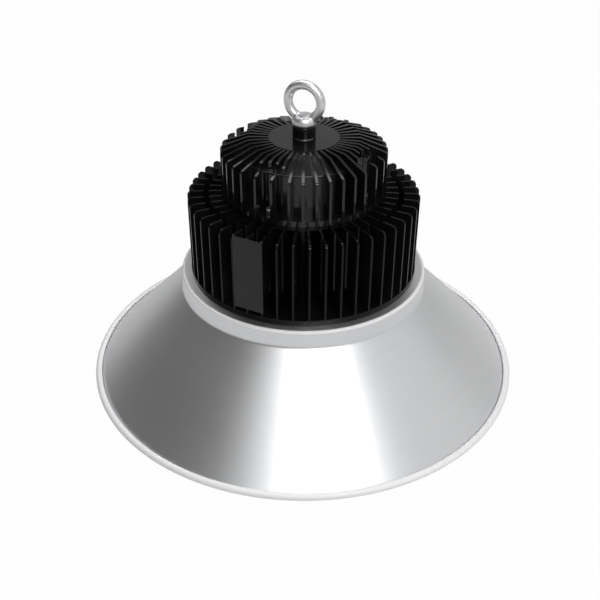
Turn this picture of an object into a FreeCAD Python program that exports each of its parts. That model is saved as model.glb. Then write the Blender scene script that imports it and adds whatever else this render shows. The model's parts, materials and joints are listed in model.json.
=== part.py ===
import FreeCAD, Part
import os
import re
import Sketcher

# High bay light, millimetres, +Z up. The lamp stands on the rolled rim of its reflector and its
# axis is the Z axis, so the origin is the centre of the rim's foot circle.
# Heights named *_height or *_seat are above the rim; every other size is the piece's own.

SIZES = {
    # Reflector, spun from one sheet
    "rim_radius": 205.0,
    "bead_radius": 3.2,
    "sheet_wall": 1.5,
    "curl_end_angle": 145.0,
    "collar_radius": 114.0,
    "collar_height": 16.2,
    "collar_bend": 2.0,
    "collar_foot_bend": 5.0,
    "reflector_bore": 78.0,
    "seat_height": 107.2,
    # Heat sink
    "fin_radius": 104.7,
    "base_rim": 0.2,
    "base_thickness": 5.4,
    "fin_height": 72.0,
    "fin_thickness": 1.9,
    "fin_total": 48,
    "fin_corner": 4.0,
    "fin_phase": 2.7,
    "slot_radius": 85.3,
    "slot_width": 5.2,
    "slot_floor": 14.4,
    "core_radius": 36.0,
    "core_wall": 8.0,
    "core_floor": 11.0,
    "deck_radius": 70.5,
    "deck_thickness": 4.0,
    "boss_radius": 5.0,
    "boss_depth": 15.0,
    "lead_hole": 6.0,
    # Driver housing
    "gasket_thickness": 0.8,
    "flange_radius": 72.5,
    "flange_thickness": 5.0,
    "gasket_bore": 55.0,
    "housing_height": 49.8,
    "wall_radius": 59.5,
    "cavity_radius": 54.0,
    "shoulder_height": 39.8,
    "disc_radius": 31.0,
    "disc_step": 2.2,
    "roof_thickness": 7.2,
    "shoulder_wall": 4.5,
    "rib_radius": 73.7,
    "rib_thickness": 2.3,
    "rib_pitch": 9.0,
    "rib_row": 7,
    "rib_flat_drop": 0.4,
    "rib_bend_radius": 49.0,
    "rib_slope": 20.8,
    "rib_corner": 3.0,
    "short_rib_radius": 58.5,
    "short_rib_pitch": 7.2,
    "short_rib_row": 4,
    "stub_rib_root": 66.3,
    "stub_rib_pitch": 12.0,
    "stub_rib_row": 2,
    "housing_phase": 17.3,
    "pocket_circle": 62.5,
    "pocket_radius": 8.5,
    "pocket_wall": 3.0,
    "quarter_total": 4,
    # How far added metal reaches into the metal that carries it
    "root": 1.0,
    # Screws: clearance is the gap round a shank in a plain or a tapped hole
    "thread_gap": 0.1,
    "shank_gap": 0.25,
    "tap_run": 0.6,
    "large_shank": 2.0,
    "large_head": 3.5,
    "large_head_height": 4.0,
    "large_length": 18.0,
    "small_shank": 1.5,
    "small_head": 2.75,
    "small_head_height": 1.6,
    # LED module and lens
    "pad_thickness": 0.5,
    "board_radius": 70.0,
    "board_thickness": 2.0,
    "board_hole": 4.5,
    "board_screw_circle": 62.0,
    "board_screw_total": 6,
    "board_screw_length": 6.0,
    "chip_side": 5.0,
    "chip_height": 0.8,
    "chip_circle_inner": 18.0,
    "chip_circle_middle": 34.0,
    "chip_circle_outer": 50.0,
    "chip_step": 6,
    "glass_radius": 86.0,
    "glass_thickness": 4.0,
    "lens_gasket_thickness": 3.2,
    "lens_gasket_inner": 79.5,
    "lens_gasket_lip": 2.3,
    "lens_ring_wall": 2.0,
    "lens_ring_bore": 80.5,
    "lens_ring_flange": 97.6,
    "lens_flange_thickness": 2.5,
    "lens_screw_circle": 94.6,
    "lens_screw_total": 6,
    "lens_screw_length": 7.5,
    "reflector_screw_circle": 101.0,
    "reflector_screw_total": 4,
    "reflector_screw_length": 5.0,
    "fit_gap": 0.3,
    # Driver and wiring
    "driver_radius": 42.0,
    "driver_height": 18.0,
    "driver_foot": 50.4,
    "driver_foot_thickness": 2.0,
    "driver_screw_circle": 46.4,
    "driver_screw_length": 5.5,
    "driver_edge": 1.5,
    "sheet_thickness": 0.8,
    "sheet_bore": 20.0,
    "terminal_length": 22.0,
    "terminal_width": 12.0,
    "terminal_height": 9.0,
    "terminal_reach": 27.0,
    "terminal_screw": 1.8,
    "terminal_pitch": 7.0,
    "lead_radius": 1.0,
    "lead_spacing": 2.5,
    "lead_gap": 0.1,
    "lead_total": 2,
    "lead_tail": 0.5,
    "grommet_flange": 9.0,
    "grommet_flange_height": 1.5,
    "grommet_height": 6.0,
    # Cable gland in the back of the driver housing
    "gland_height": 16.6,
    "gland_boss_radius": 12.5,
    "gland_boss_reach": 75.0,
    "gland_thread": 8.0,
    "gland_thread_length": 12.0,
    "gland_bore": 5.2,
    "gland_washer_radius": 10.5,
    "gland_washer_thickness": 1.0,
    "gland_hex": 11.0,
    "gland_hex_length": 5.0,
    "gland_neck": 8.6,
    "gland_neck_length": 6.0,
    "gland_cap_radius": 10.4,
    "gland_cap_length": 11.0,
    "gland_cap_wall": 1.6,
    "gland_cap_round": 2.2,
    "gland_seal_radius": 6.9,
    "gland_seal_seat": 3.0,
    "cable_radius": 4.5,
    # Eye bolt and its hub
    "bolt_radius": 5.0,
    "bolt_length": 29.5,
    "bolt_point": 1.0,
    "hub_washer_radius": 9.0,
    "hub_washer_thickness": 1.2,
    "hub_radius": 10.2,
    "hub_height": 10.3,
    "hub_edge": 0.7,
    "eye_radius": 15.1,
    "eye_wire": 4.05,
    "eye_rise": 20.2,
    "eye_yaw": -23.0,
    "collar_foot": 10.8,
    "collar_round": 0.6,
    "collar_edge": 1.6,
    "collar_rise": 8.2,
    "collar_neck": 4.4,
    "nut_flats": 17.0,
    "nut_height": 8.0,
    "nut_washer_radius": 10.5,
    "nut_washer_thickness": 2.0,
    # Bare plate on the fins
    "plate_width": 27.8,
    "plate_height": 69.0,
    "plate_thickness": 0.8,
    "plate_lift": 4.4,
    "plate_shift": 2.0,
    "plate_fin": 16,
}

# Heights and radii that follow from the sizes above
BASE_TOP = "(seat_height + base_thickness)"
BASE_RADIUS = "(fin_radius + base_rim)"
FIN_TOP = "(seat_height + base_thickness + fin_height)"
CORE_BORE = "(core_radius - core_wall)"
CORE_FLOOR = "(seat_height + core_floor)"
FLANGE_SEAT = f"({FIN_TOP} + gasket_thickness)"
FLANGE_TOP = f"({FLANGE_SEAT} + flange_thickness)"
DISC_TOP = f"({FLANGE_SEAT} + housing_height)"
ROOF = f"({DISC_TOP} - roof_thickness)"
SHOULDER = f"({FLANGE_SEAT} + shoulder_height)"
HUB_SEAT = f"({DISC_TOP} + hub_washer_thickness)"
EYE_SEAT = f"({HUB_SEAT} + hub_height)"
REFLECTOR_SEAT = "(seat_height - sheet_wall)"
BOARD_TOP = "(seat_height - pad_thickness)"
BOARD_FOOT = f"({BOARD_TOP} - board_thickness)"
GLASS_TOP = f"({REFLECTOR_SEAT} - lens_gasket_thickness)"
GLASS_FOOT = f"({GLASS_TOP} - glass_thickness)"
GASKET_RADIUS = "(glass_radius + fit_gap + lens_gasket_lip)"
DRIVER_SEAT = f"({FIN_TOP} + sheet_thickness)"
DRIVER_TOP = f"({DRIVER_SEAT} + driver_height)"
CORNER = "45"
BETWEEN = "180 / board_screw_total"
HOUSING_TURN = f"housing_phase - fin_phase + {CORNER}"
LARGE_BORE = "(large_shank + thread_gap)"
SMALL_BORE = "(small_shank + thread_gap)"
BOLT_BORE = "(bolt_radius + thread_gap)"

doc = FreeCAD.newDocument("high_bay_light")
sheet = doc.addObject("Spreadsheet::Sheet", "Sizes")
for row, (size_name, size_value) in enumerate(SIZES.items(), start=1):
    sheet.set(f"A{row}", size_name)
    sheet.set(f"B{row}", str(size_value))
    sheet.setAlias(f"B{row}", size_name)
doc.recompute()

SIZE_WORD = re.compile(r"\b(" + "|".join(sorted(SIZES, key=len, reverse=True)) + r")\b")
subparts = []


def sized(text):
    """Turns a formula in size names into an expression on the sheet's cells."""
    return SIZE_WORD.sub(r"Sizes.\1", str(text))


def value(text):
    """Number that a formula gives now, used only to start a sketch in the right shape."""
    result = sheet.evalExpression(sized(text))
    return float(getattr(result, "Value", result))


def bind(thing, **formulas):
    """Ties properties of an object to the sheet; a double underscore stands for a dot."""
    for path, formula in formulas.items():
        thing.setExpression(path.replace("__", "."), sized(formula))
    return thing


def keep(thing, label):
    """Makes an object one of the sub-parts that are written out."""
    thing.Label = label
    subparts.append(thing)
    return thing


def turn(thing, angle):
    """Turns an object about the lamp's axis."""
    thing.Placement = FreeCAD.Placement(FreeCAD.Vector(), FreeCAD.Vector(0, 0, 1), value(angle))
    thing.setExpression("Placement.Rotation.Angle", sized(angle))
    return thing


# Part design helpers

def new_body(name):
    return doc.addObject("PartDesign::Body", name)


def datum(body, role):
    return next(item for item in body.Origin.OriginFeatures if item.Role == role)


def new_sketch(body, name, plane="XZ_Plane", angle=None, lift=None):
    """Sketch on a plane of the body, turned about Z by angle or lifted along the plane's normal."""
    sketch = body.newObject("Sketcher::SketchObject", name)
    sketch.AttachmentSupport = [(datum(body, plane), "")]
    sketch.MapMode = "FlatFace"
    if angle is not None:
        upright = FreeCAD.Vector(0, 1, 0) if plane == "XZ_Plane" else FreeCAD.Vector(0, 0, 1)
        sketch.AttachmentOffset = FreeCAD.Placement(FreeCAD.Vector(), upright, value(angle))
        sketch.setExpression("AttachmentOffset.Rotation.Angle", sized(angle))
    if lift is not None:
        sketch.setExpression("AttachmentOffset.Base.z", sized(lift))
    return sketch


def hold(sketch, axis, curve, point, formula):
    """Fixes one coordinate of a point of the sketch to a formula."""
    if formula == "0":
        sketch.addConstraint(Sketcher.Constraint("PointOnObject", curve, point, -2 if axis == "X" else -1))
        return
    start = value(formula)
    index = sketch.addConstraint(Sketcher.Constraint("Distance" + axis, -1, 1, curve, point, start))
    sketch.setExpression(f"Constraints[{index}]", sized(formula))


def outline(sketch, corners):
    """Closed outline through (x, y) corners; a corner (x, y, cx, cy, turning) is reached by an arc."""
    total = len(corners)
    for index, corner in enumerate(corners):
        here = FreeCAD.Vector(value(corner[0]), value(corner[1]), 0)
        after = corners[(index + 1) % total]
        there = FreeCAD.Vector(value(after[0]), value(after[1]), 0)
        if len(after) == 2:
            sketch.addGeometry(Part.LineSegment(here, there), False)
            continue
        middle = FreeCAD.Vector(value(after[2]), value(after[3]), 0)
        first, last = (here, there) if after[4] == "left" else (there, here)
        swing = Part.Circle(middle, FreeCAD.Vector(0, 0, 1), (here - middle).Length)
        sketch.addGeometry(Part.ArcOfCircle(swing, swing.parameter(first), swing.parameter(last)), False)
    ends = []
    for index in range(total):
        after = corners[(index + 1) % total]
        backward = len(after) == 5 and after[4] == "right"
        ends.append((2, 1) if backward else (1, 2))
    for index in range(total):
        following = (index + 1) % total
        joint = ("Coincident", index, ends[index][1], following, ends[following][0])
        sketch.addConstraint(Sketcher.Constraint(*joint))
    for index, corner in enumerate(corners):
        previous = (index - 1) % total
        if len(corner) == 2:
            hold(sketch, "X", index, ends[index][0], corner[0])
            hold(sketch, "Y", index, ends[index][0], corner[1])
            continue
        hold(sketch, "X", previous, 3, corner[2])
        hold(sketch, "Y", previous, 3, corner[3])
        across = abs(value(corner[1]) - value(corner[3])) > abs(value(corner[0]) - value(corner[2]))
        hold(sketch, "X" if across else "Y", index, ends[index][0], corner[0] if across else corner[1])


def circle(sketch, x, radius, y="0"):
    """Circle with its centre at (x, y)."""
    centre = FreeCAD.Vector(value(x), value(y), 0)
    curve = sketch.addGeometry(Part.Circle(centre, FreeCAD.Vector(0, 0, 1), value(radius)), False)
    hold(sketch, "X", curve, 3, x)
    hold(sketch, "Y", curve, 3, y)
    index = sketch.addConstraint(Sketcher.Constraint("Radius", curve, value(radius)))
    sketch.setExpression(f"Constraints[{index}]", sized(radius))


def revolve(body, name, corners):
    """Solid of revolution about Z from an outline in radius and height."""
    sketch = new_sketch(body, name + "_outline")
    outline(sketch, corners)
    feature = body.newObject("PartDesign::Revolution", name)
    feature.Profile = sketch
    feature.ReferenceAxis = (sketch, ["V_Axis"])
    feature.Angle = 360
    return feature


def pad(body, name, sketch, length, kind="One side", down=False):
    feature = body.newObject("PartDesign::Pad", name)
    feature.Profile = sketch
    feature.SideType = kind
    feature.Reversed = down
    return bind(feature, Length=length)


def pocket(body, name, sketch, length, up=False):
    """Cut that goes down from its sketch, or up."""
    feature = body.newObject("PartDesign::Pocket", name)
    feature.Profile = sketch
    feature.Reversed = up
    return bind(feature, Length=length)


def polar(body, name, total, angle="360"):
    """Copies about Z; with a pattern's features still to be named by the caller."""
    pattern = body.newObject("PartDesign::PolarPattern", name)
    pattern.Axis = (datum(body, "Z_Axis"), [""])
    return bind(pattern, Occurrences=total, Angle=angle)


def ring_of(body, name, features, total):
    """Copies features evenly all the way round."""
    pattern = polar(body, name, total)
    pattern.Originals = features
    body.Tip = pattern
    return pattern


def rows_of(body, name, features, row_total, row_angle):
    """Copies features along a row, and the row into each quarter."""
    pattern = body.newObject("PartDesign::MultiTransform", name)
    pattern.Originals = features
    row = polar(body, name + "_row", row_total, row_angle)
    quarters = polar(body, name + "_quarters", "quarter_total")
    pattern.Transformations = [row, quarters]
    body.Tip = pattern
    return pattern


def drill(body, name, reach, radius, start, depth, total, up=False, angle="0"):
    """Ring of round holes, cut up or down from the height start."""
    sketch = new_sketch(body, name + "_circle", "XY_Plane", angle=angle, lift=start)
    circle(sketch, reach, radius)
    return ring_of(body, name, [pocket(body, name + "_hole", sketch, depth, up)], total)


def screws(label, reach, total, seat, shank, length, head, head_height, angle, up=True):
    """Ring of screws; seat is the face under the heads, which stand up or hang down."""
    body = keep(new_body(label), label)
    head_sketch = new_sketch(body, label + "_head_circle", "XY_Plane", lift=seat)
    circle(head_sketch, reach, head)
    head_pad = pad(body, label + "_head", head_sketch, head_height, down=not up)
    shank_sketch = new_sketch(body, label + "_shank_circle", "XY_Plane", lift=seat)
    circle(shank_sketch, reach, shank)
    shank_pad = pad(body, label + "_shank", shank_sketch, length, down=up)
    ring_of(body, label + "_ring", [head_pad, shank_pad], total)
    turn(body, angle)
    return body


def hexagon(sketch, x, radius):
    """Regular hexagon with corners at radius from its centre on the sketch's X axis."""
    middle = FreeCAD.Vector(value(x), 0, 0)
    guide = sketch.addGeometry(Part.Circle(middle, FreeCAD.Vector(0, 0, 1), value(radius)), True)
    hold(sketch, "X", guide, 3, x)
    hold(sketch, "Y", guide, 3, "0")
    index = sketch.addConstraint(Sketcher.Constraint("Radius", guide, value(radius)))
    sketch.setExpression(f"Constraints[{index}]", sized(radius))
    spokes = [FreeCAD.Rotation(FreeCAD.Vector(0, 0, 1), 60 * step) for step in range(6)]
    points = [middle + spoke.multVec(FreeCAD.Vector(value(radius), 0, 0)) for spoke in spokes]
    sides = [sketch.addGeometry(Part.LineSegment(points[step], points[(step + 1) % 6]), False)
             for step in range(6)]
    for step, side in enumerate(sides):
        following = sides[(step + 1) % 6]
        sketch.addConstraint(Sketcher.Constraint("Coincident", side, 2, following, 1))
        sketch.addConstraint(Sketcher.Constraint("PointOnObject", side, 1, guide))
    for side in sides[1:]:
        sketch.addConstraint(Sketcher.Constraint("Equal", sides[0], side))
    sketch.addConstraint(Sketcher.Constraint("PointOnObject", sides[0], 1, -1))


# Helpers for what part design doesn't reach

def fuse(name, things):
    thing = doc.addObject("Part::MultiFuse", name)
    thing.Shapes = things
    return thing


def lay_in_gland(thing):
    """Puts a gland piece, drawn on its own axis from the boss face out, at the back of the housing."""
    across = "0 - gland_boss_reach * sin(housing_phase)"
    along = "gland_boss_reach * cos(housing_phase)"
    height = f"{FIN_TOP} + gland_height"
    place = f"vector({across}; {along}; {height})"
    thing.setExpression("Placement", sized(f"placement({place}; rotation(housing_phase; 0; -90))"))
    return thing


# Reflector: seat flange, collar, cone and rolled bead, one sheet all through. The cone runs straight
# from the foot of the collar to the curl, so its angle follows from those two
CURL = "(bead_radius - sheet_wall)"
BEAD_R = "(rim_radius - bead_radius)"
CONE_RUN = f"({BEAD_R} - collar_radius)"
CONE_FALL = "(seat_height - collar_height - bead_radius)"
CONE_ANGLE = f"(atan({CONE_FALL} / {CONE_RUN}) + asin({CURL} / sqrt({CONE_RUN}^2 + {CONE_FALL}^2)))"
LEAN_R = f"sin({CONE_ANGLE})"
LEAN_Z = f"cos({CONE_ANGLE})"
FOOT_R = "(collar_radius + collar_foot_bend)"
FOOT_IN = "(collar_foot_bend + sheet_wall)"
CONE_R = f"({BEAD_R} - {CURL} * {LEAN_R})"
CONE_Z = f"(bead_radius - {CURL} * {LEAN_Z})"
FOOT_Z = f"({CONE_Z} + (collar_foot_bend - ({FOOT_R} - {CONE_R}) * {LEAN_R}) / {LEAN_Z})"
BEND_R = "(collar_radius - collar_bend)"
BEND_Z = "(seat_height - collar_bend)"
BEND_IN = "collar_bend * (1 - sin(45))"
CURL_STEPS = [f"(270 deg - {CONE_ANGLE})", "270", "300", "330", "360", "390", "420", "450", "480",
              "(360 + curl_end_angle)"]


def curl(radius, steps):
    """Corners of the rolled bead at a radius from its centre, one for each step of its turn."""
    return [(f"{BEAD_R} + {radius} * cos({step})", f"bead_radius + {radius} * sin({step})")
            for step in steps]


reflector = keep(new_body("reflector"), "reflector")
revolve(reflector, "shell", [
    ("reflector_bore", REFLECTOR_SEAT),
    (BEND_R, REFLECTOR_SEAT),
    ("collar_radius - sheet_wall", BEND_Z),
    ("collar_radius - sheet_wall", FOOT_Z),
    (f"{FOOT_R} - {FOOT_IN} * {LEAN_R}", f"{FOOT_Z} - {FOOT_IN} * {LEAN_Z}", FOOT_R, FOOT_Z, "left"),
    *curl("bead_radius", CURL_STEPS),
    *curl(CURL, CURL_STEPS[::-1]),
    (f"{FOOT_R} - collar_foot_bend * {LEAN_R}", f"{FOOT_Z} - collar_foot_bend * {LEAN_Z}"),
    ("collar_radius", FOOT_Z, FOOT_R, FOOT_Z, "right"),
    ("collar_radius", BEND_Z),
    (f"collar_radius - {BEND_IN}", f"seat_height - {BEND_IN}"),
    (BEND_R, "seat_height"),
    ("reflector_bore", "seat_height"),
])
drill(reflector, "lens_screw", "lens_screw_circle", "small_shank + shank_gap", REFLECTOR_SEAT,
      "sheet_wall", "lens_screw_total", up=True)
drill(reflector, "reflector_screw", "reflector_screw_circle", "small_shank + shank_gap",
      REFLECTOR_SEAT, "sheet_wall", "reflector_screw_total", up=True, angle=CORNER)
turn(reflector, "fin_phase")

# Heat sink: base, hollow core, deck and fins with a slot near their outer edge
heat_sink = keep(new_body("heat_sink"), "heat_sink")
revolve(heat_sink, "core", [
    ("lead_hole", "seat_height"),
    (BASE_RADIUS, "seat_height"),
    (BASE_RADIUS, BASE_TOP),
    ("core_radius", BASE_TOP),
    ("core_radius", f"{FIN_TOP} - deck_thickness"),
    ("deck_radius", f"{FIN_TOP} - deck_thickness"),
    ("deck_radius", FIN_TOP),
    (CORE_BORE, FIN_TOP),
    (CORE_BORE, CORE_FLOOR),
    ("lead_hole", CORE_FLOOR),
])
fin_sketch = new_sketch(heat_sink, "fin_outline")
outline(fin_sketch, [
    ("core_radius - root", f"{BASE_TOP} - root"),
    ("fin_radius", f"{BASE_TOP} - root"),
    ("fin_radius", f"{FIN_TOP} - fin_corner"),
    ("fin_radius - fin_corner", FIN_TOP, "fin_radius - fin_corner", f"{FIN_TOP} - fin_corner", "left"),
    ("slot_radius + slot_width", FIN_TOP),
    ("slot_radius + slot_width", f"{BASE_TOP} + slot_floor"),
    ("slot_radius", f"{BASE_TOP} + slot_floor"),
    ("slot_radius", FIN_TOP),
    ("core_radius - root", FIN_TOP),
])
fin = pad(heat_sink, "fin", fin_sketch, "fin_thickness", "Symmetric")
ring_of(heat_sink, "fins", [fin], "fin_total")
boss_sketch = new_sketch(heat_sink, "boss_circle", "XY_Plane", HOUSING_TURN, f"{FIN_TOP} - boss_depth")
circle(boss_sketch, "pocket_circle", "boss_radius")
boss = pad(heat_sink, "boss", boss_sketch, "boss_depth")
ring_of(heat_sink, "bosses", [boss], "quarter_total")
drill(heat_sink, "housing_screw", "pocket_circle", LARGE_BORE, FIN_TOP,
      "large_length - flange_thickness - gasket_thickness + tap_run", "quarter_total", angle=HOUSING_TURN)
drill(heat_sink, "driver_screw", "driver_screw_circle", SMALL_BORE, FIN_TOP,
      "driver_screw_length - driver_foot_thickness - sheet_thickness + tap_run", "quarter_total",
      angle=HOUSING_TURN)
drill(heat_sink, "board_screw", "board_screw_circle", SMALL_BORE, "seat_height",
      "board_screw_length - board_thickness - pad_thickness + tap_run", "board_screw_total", up=True,
      angle=BETWEEN)
drill(heat_sink, "lens_screw", "lens_screw_circle", SMALL_BORE, "seat_height",
      "lens_screw_length - lens_flange_thickness - sheet_wall + tap_run", "lens_screw_total", up=True)
drill(heat_sink, "reflector_screw", "reflector_screw_circle", SMALL_BORE, "seat_height",
      "reflector_screw_length - sheet_wall + tap_run", "reflector_screw_total", up=True, angle=CORNER)
turn(heat_sink, "fin_phase")

# Driver housing: domed shell with ribs, four screw pockets and a boss for the cable gland
RIB_TOP = f"({DISC_TOP} - rib_flat_drop)"
RIB_NOSE_R = "(rib_radius - rib_corner)"
RIB_NOSE_Z = (f"({RIB_TOP} - ({RIB_NOSE_R} + rib_corner * sin(rib_slope) - rib_bend_radius)"
              " * tan(rib_slope) - rib_corner * cos(rib_slope))")
WALL_MIDDLE = "((cavity_radius + wall_radius) / 2)"
RIB_NOSE = (f"{RIB_NOSE_R} + rib_corner * sin(rib_slope)", f"{RIB_NOSE_Z} + rib_corner * cos(rib_slope)",
            RIB_NOSE_R, RIB_NOSE_Z, "left")
POCKET_OUTER = "(pocket_radius + pocket_wall)"
LENS_R = "(wall_radius - root)"
LENS_X = f"(({LENS_R}^2 + pocket_circle^2 - {POCKET_OUTER}^2) / (2 * pocket_circle))"
LENS_Y = f"sqrt({LENS_R}^2 - {LENS_X}^2)"


def on_rib_slope(radius):
    """Height of the ribs' sloping top at a radius."""
    return f"{RIB_TOP} - ({radius} - rib_bend_radius) * tan(rib_slope)"


housing = keep(new_body("driver_housing"), "driver_housing")
revolve(housing, "shell", [
    ("cavity_radius", FLANGE_SEAT),
    ("flange_radius", FLANGE_SEAT),
    ("flange_radius", FLANGE_TOP),
    ("wall_radius", FLANGE_TOP),
    ("wall_radius", SHOULDER),
    ("disc_radius", f"{DISC_TOP} - disc_step"),
    ("disc_radius", DISC_TOP),
    (BOLT_BORE, DISC_TOP),
    (BOLT_BORE, ROOF),
    ("disc_radius - root", ROOF),
    ("cavity_radius", f"{SHOULDER} - shoulder_wall"),
])

lens_sketch = new_sketch(housing, "pocket_wall_outline", "XY_Plane", CORNER, FLANGE_SEAT)
outline(lens_sketch, [
    (LENS_X, f"0 - {LENS_Y}", "pocket_circle", "0", "left"),
    (LENS_X, LENS_Y),
])
pocket_pad = pad(housing, "pocket_wall", lens_sketch, "shoulder_height")
ring_of(housing, "pocket_walls", [pocket_pad], "quarter_total")

gland_circle = new_sketch(housing, "gland_boss_circle", lift=f"0 - {WALL_MIDDLE}")
circle(gland_circle, "0", "gland_boss_radius", f"{FIN_TOP} + gland_height")
pad(housing, "gland_boss", gland_circle, f"gland_boss_reach - {WALL_MIDDLE}", down=True)

rib_sketch = new_sketch(housing, "rib_outline", angle="0 - rib_pitch * (rib_row - 1) / 2")
outline(rib_sketch, [
    (WALL_MIDDLE, FLANGE_SEAT),
    ("rib_radius", FLANGE_SEAT),
    ("rib_radius", RIB_NOSE_Z),
    RIB_NOSE,
    ("rib_bend_radius", RIB_TOP),
    ("disc_radius - root", RIB_TOP),
    ("disc_radius - root", f"{ROOF} + root"),
    (WALL_MIDDLE, f"{SHOULDER} - root"),
])
rib = pad(housing, "rib", rib_sketch, "rib_thickness", "Symmetric")
rows_of(housing, "ribs", [rib], "rib_row", "rib_pitch * (rib_row - 1)")

short_sketch = new_sketch(housing, "short_rib_outline",
                          angle=f"{CORNER} - short_rib_pitch * (short_rib_row - 1) / 2")
outline(short_sketch, [
    ("short_rib_radius", f"{SHOULDER} - root"),
    ("short_rib_radius", on_rib_slope("short_rib_radius")),
    ("rib_bend_radius", RIB_TOP),
    ("disc_radius - root", RIB_TOP),
    ("disc_radius - root", f"{ROOF} + root"),
    (WALL_MIDDLE, f"{SHOULDER} - root"),
])
short_rib = pad(housing, "short_rib", short_sketch, "rib_thickness", "Symmetric")
rows_of(housing, "short_ribs", [short_rib], "short_rib_row", "short_rib_pitch * (short_rib_row - 1)")

stub_sketch = new_sketch(housing, "stub_rib_outline",
                         angle=f"{CORNER} - stub_rib_pitch * (stub_rib_row - 1) / 2")
outline(stub_sketch, [
    ("stub_rib_root", FLANGE_SEAT),
    ("rib_radius", FLANGE_SEAT),
    ("rib_radius", RIB_NOSE_Z),
    RIB_NOSE,
    ("stub_rib_root", on_rib_slope("stub_rib_root")),
])
stub_rib = pad(housing, "stub_rib", stub_sketch, "rib_thickness", "Symmetric")
rows_of(housing, "stub_ribs", [stub_rib], "stub_rib_row", "stub_rib_pitch * (stub_rib_row - 1)")

drill(housing, "pocket", "pocket_circle", "pocket_radius", DISC_TOP, f"{DISC_TOP} - {FLANGE_TOP}",
      "quarter_total", angle=CORNER)
drill(housing, "screw", "pocket_circle", "large_shank + shank_gap", FLANGE_TOP, "flange_thickness",
      "quarter_total", angle=CORNER)
thread_circle = new_sketch(housing, "gland_thread_circle", lift="0 - gland_boss_reach")
circle(thread_circle, "0", "gland_thread + thread_gap", f"{FIN_TOP} + gland_height")
pocket(housing, "gland_thread", thread_circle, "gland_thread_length + tap_run", up=True)
entry_circle = new_sketch(housing, "gland_entry_circle", lift="0 - gland_boss_reach")
circle(entry_circle, "0", "gland_bore", f"{FIN_TOP} + gland_height")
gland_entry = pocket(housing, "gland_entry", entry_circle, "gland_boss_reach - cavity_radius + root", up=True)
housing.Tip = gland_entry
turn(housing, "housing_phase")

gasket = keep(new_body("housing_gasket"), "housing_gasket")
revolve(gasket, "ring", [
    ("gasket_bore", FIN_TOP),
    ("deck_radius", FIN_TOP),
    ("deck_radius", FLANGE_SEAT),
    ("gasket_bore", FLANGE_SEAT),
])
drill(gasket, "screw", "pocket_circle", "large_shank + shank_gap", FLANGE_SEAT, "gasket_thickness",
      "quarter_total", angle=CORNER)
turn(gasket, "housing_phase")
screws("housing_screws", "pocket_circle", "quarter_total", FLANGE_TOP, "large_shank", "large_length",
       "large_head", "large_head_height", f"housing_phase + {CORNER}")

# Eye bolt, hub and the parts that hold them in the roof
bolt = new_body("bolt")
revolve(bolt, "shank", [
    ("0", f"{EYE_SEAT} - bolt_length"),
    ("bolt_radius - bolt_point", f"{EYE_SEAT} - bolt_length"),
    ("bolt_radius", f"{EYE_SEAT} - bolt_length + bolt_point"),
    ("bolt_radius", EYE_SEAT),
    ("collar_foot - collar_round", EYE_SEAT),
    ("collar_foot", f"{EYE_SEAT} + collar_round", "collar_foot - collar_round",
     f"{EYE_SEAT} + collar_round", "left"),
    ("collar_foot", f"{EYE_SEAT} + collar_edge"),
    ("collar_neck", f"{EYE_SEAT} + collar_rise"),
    ("0", f"{EYE_SEAT} + collar_rise"),
])
eye = doc.addObject("Part::Torus", "eye")
eye.Placement = FreeCAD.Placement(FreeCAD.Vector(), FreeCAD.Vector(1, 0, 0), 90)
bind(eye, Radius1="eye_radius", Radius2="eye_wire", Placement__Base__z=f"{EYE_SEAT} + eye_rise")
eye_bolt = keep(fuse("eye_bolt", [bolt, eye]), "eye_bolt")
turn(eye_bolt, "eye_yaw")

hub = keep(new_body("mounting_hub"), "mounting_hub")
revolve(hub, "boss", [
    (BOLT_BORE, HUB_SEAT),
    ("hub_radius", HUB_SEAT),
    ("hub_radius", f"{EYE_SEAT} - hub_edge"),
    ("hub_radius - hub_edge", EYE_SEAT),
    (BOLT_BORE, EYE_SEAT),
])
hub_washer = keep(new_body("hub_washer"), "hub_washer")
revolve(hub_washer, "ring", [
    (BOLT_BORE, DISC_TOP),
    ("hub_washer_radius", DISC_TOP),
    ("hub_washer_radius", HUB_SEAT),
    (BOLT_BORE, HUB_SEAT),
])
inner_washer = keep(new_body("inner_washer"), "inner_washer")
revolve(inner_washer, "ring", [
    (BOLT_BORE, f"{ROOF} - nut_washer_thickness"),
    ("nut_washer_radius", f"{ROOF} - nut_washer_thickness"),
    ("nut_washer_radius", ROOF),
    (BOLT_BORE, ROOF),
])
NUT_TOP = f"({ROOF} - nut_washer_thickness)"
nut = keep(new_body("inner_nut"), "inner_nut")
nut_sketch = new_sketch(nut, "nut_outline", "XY_Plane", lift=NUT_TOP)
hexagon(nut_sketch, "0", "nut_flats / (2 * cos(30))")
circle(nut_sketch, "0", BOLT_BORE)
pad(nut, "nut", nut_sketch, "nut_height", down=True)

# LED module: thermal pad, board, chips and screws under the base
thermal_pad = keep(new_body("thermal_pad"), "thermal_pad")
revolve(thermal_pad, "sheet", [
    ("board_hole", BOARD_TOP),
    ("board_radius", BOARD_TOP),
    ("board_radius", "seat_height"),
    ("board_hole", "seat_height"),
])
drill(thermal_pad, "screw", "board_screw_circle", "small_shank + shank_gap", BOARD_TOP,
      "pad_thickness", "board_screw_total", up=True, angle=BETWEEN)
turn(thermal_pad, "fin_phase")
led_board = keep(new_body("led_board"), "led_board")
revolve(led_board, "plate", [
    ("0", BOARD_FOOT),
    ("board_radius", BOARD_FOOT),
    ("board_radius", BOARD_TOP),
    ("0", BOARD_TOP),
])
drill(led_board, "lead", "lead_spacing", "lead_radius + lead_gap", BOARD_TOP, "board_thickness",
      "lead_total")
drill(led_board, "screw", "board_screw_circle", "small_shank + shank_gap", BOARD_TOP,
      "board_thickness", "board_screw_total", angle=BETWEEN)
turn(led_board, "fin_phase")
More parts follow.
